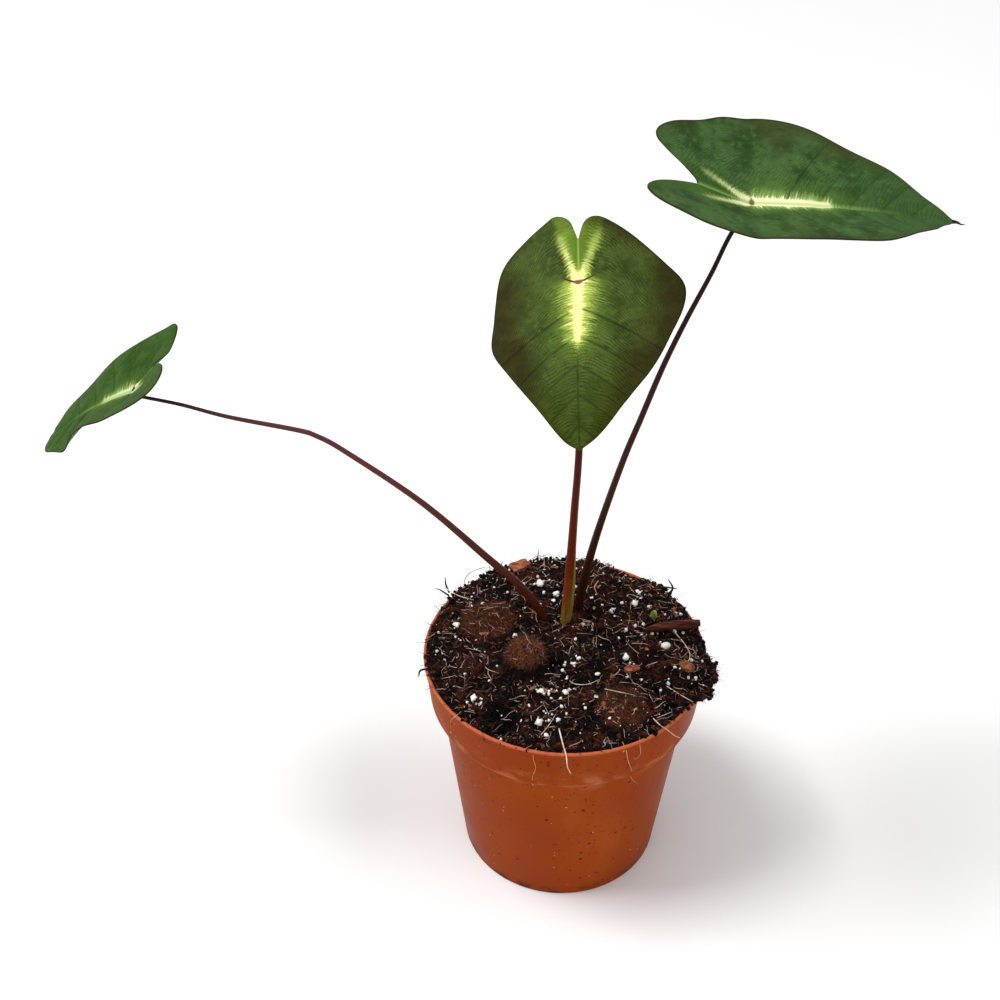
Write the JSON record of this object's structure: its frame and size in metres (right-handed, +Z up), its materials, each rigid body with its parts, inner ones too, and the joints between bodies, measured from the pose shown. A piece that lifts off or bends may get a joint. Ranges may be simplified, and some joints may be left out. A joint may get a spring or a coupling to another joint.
{
  "type": "potted alocasia plant",
  "caption": "Young potted aroid houseplant: heart-shaped leaves with pale midribs on long thin stalks, in a round tapered nursery pot heaped with bark and perlite mix.",
  "frame": {"origin": "on the ground under the middle of the pot, at the centre of the flat face that the pot rests on", "axes": "+Z up along the pot's axis, -Y towards the front of the plant, +X towards the tall leaf on its right as seen from the front"},
  "size_m": [0.3362, 0.1306, 0.3356],
  "materials": {
    "pot_plastic": "terracotta-coloured injection-moulded plastic with a soft sheen, fine scuffs and dust",
    "potting_mix": "moist peat, coir and bark, dark brown to near black, matt and crumbly",
    "corm": "brown papery ringed tuber skin, matt",
    "bark": "reddish brown flaky bark, matt",
    "perlite": "off-white expanded volcanic glass, chalky",
    "leaf_left": "waxy green leaf with a pale cream midrib stripe",
    "leaf_centre": "waxy dark olive leaf, purple-brown towards the margin, bright yellow-cream midrib stripe",
    "leaf_right": "waxy mid-green leaf with a cream-yellow midrib stripe and a thin dark margin",
    "stalk_left": "smooth reddish brown stalk, nearly black near the leaf",
    "stalk_centre": "smooth dark red stalk turning olive green at the sheath",
    "stalk_right": "smooth near-black maroon stalk",
    "dry_stalk": "shrivelled dry stalk, dark red-brown, matt",
    "shoot": "smooth pale green shoot tip"
  },
  "bodies": {
    "root": {"pot": "pot_plastic", "potting_mix": "potting_mix", "corm": "corm", "petiole_left": "stalk_left", "petiole_centre": "stalk_centre", "petiole_right": "stalk_right", "leaf_blade_left": "leaf_left", "leaf_blade_centre": "leaf_centre", "leaf_blade_right": "leaf_right", "old_stalk_stub": "dry_stalk", "offset_bud": "shoot", "bark_chip_1": "bark", "bark_chip_2": "bark", "bark_chip_3": "bark", "perlite_01": "perlite", "perlite_02": "perlite", "perlite_03": "perlite", "perlite_04": "perlite", "perlite_05": "perlite", "perlite_06": "perlite", "perlite_07": "perlite", "perlite_08": "perlite", "perlite_09": "perlite", "perlite_10": "perlite", "perlite_11": "perlite", "perlite_12": "perlite"}
  },
  "joints": []
}
